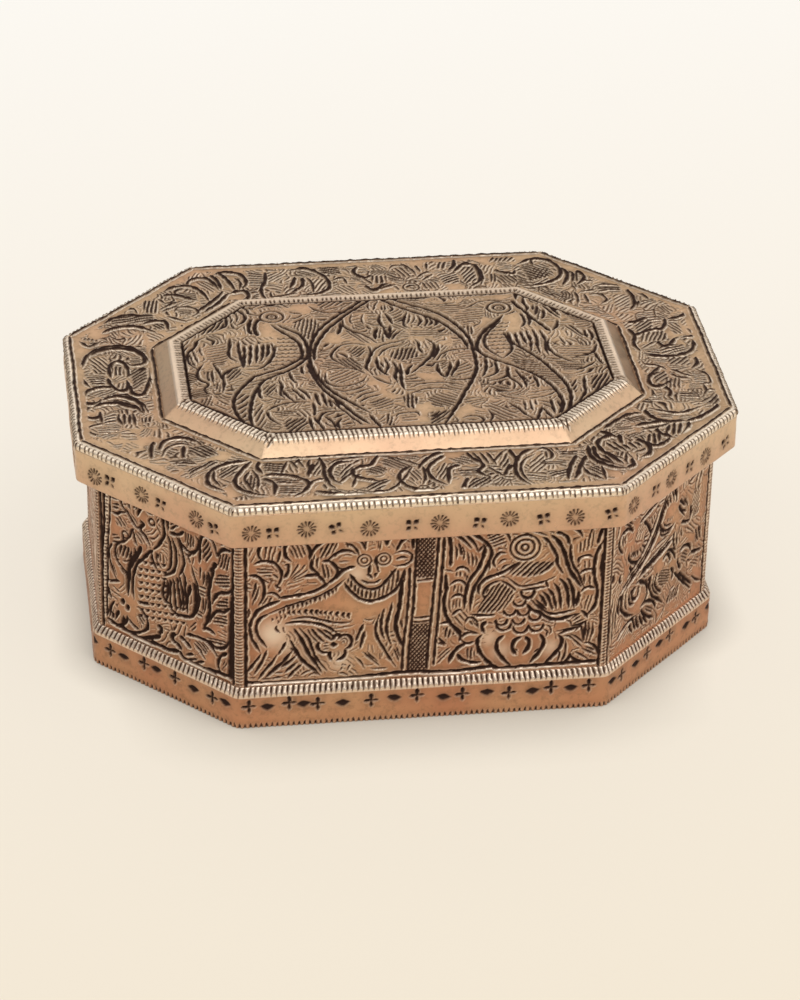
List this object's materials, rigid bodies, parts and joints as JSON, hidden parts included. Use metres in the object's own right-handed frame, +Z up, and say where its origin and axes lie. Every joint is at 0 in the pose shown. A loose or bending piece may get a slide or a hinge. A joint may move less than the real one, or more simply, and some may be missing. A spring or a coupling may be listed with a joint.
{
  "type": "hinged storage box",
  "caption": "Eight-sided engraved brass storage box with a foot band and a hinged, overhanging lid with a raised panel.",
  "frame": {"origin": "centre of the box on the surface that its foot stands on", "axes": "+X along the box's length, -Y towards its front, +Z up"},
  "size_m": [0.174, 0.1317, 0.0727],
  "materials": {
    "engraved_brass": "hand-engraved aged brass, black patina in the cuts, satin ridges",
    "punched_brass": "satin aged brass with small punched marks and a notched edge",
    "plain_brass": "plain hammered sheet brass, dull",
    "hinge_brass": "worn satin brass"
  },
  "bodies": {
    "box": {"base_plate": "plain_brass", "body_wall": "engraved_brass", "foot_band": "punched_brass", "left_hinge_body_leaf": "hinge_brass", "left_hinge_pin": "hinge_brass", "left_hinge_body_rivets": "hinge_brass", "right_hinge_body_leaf": "hinge_brass", "right_hinge_pin": "hinge_brass", "right_hinge_body_rivets": "hinge_brass"},
    "lid": {"lid_plate": "engraved_brass", "lid_skirt": "punched_brass", "lid_raised_panel": "engraved_brass", "left_hinge_lid_leaf": "hinge_brass", "left_hinge_lid_rivets": "hinge_brass", "right_hinge_lid_leaf": "hinge_brass", "right_hinge_lid_rivets": "hinge_brass"}
  },
  "joints": [
    {"name": "lid_hinge", "type": "hinge", "parent": "box", "child": "lid", "pos_m": [0, 0.0624, 0.0585], "axis": [-1, 0, 0], "range_deg": [0, 105]}
  ]
}
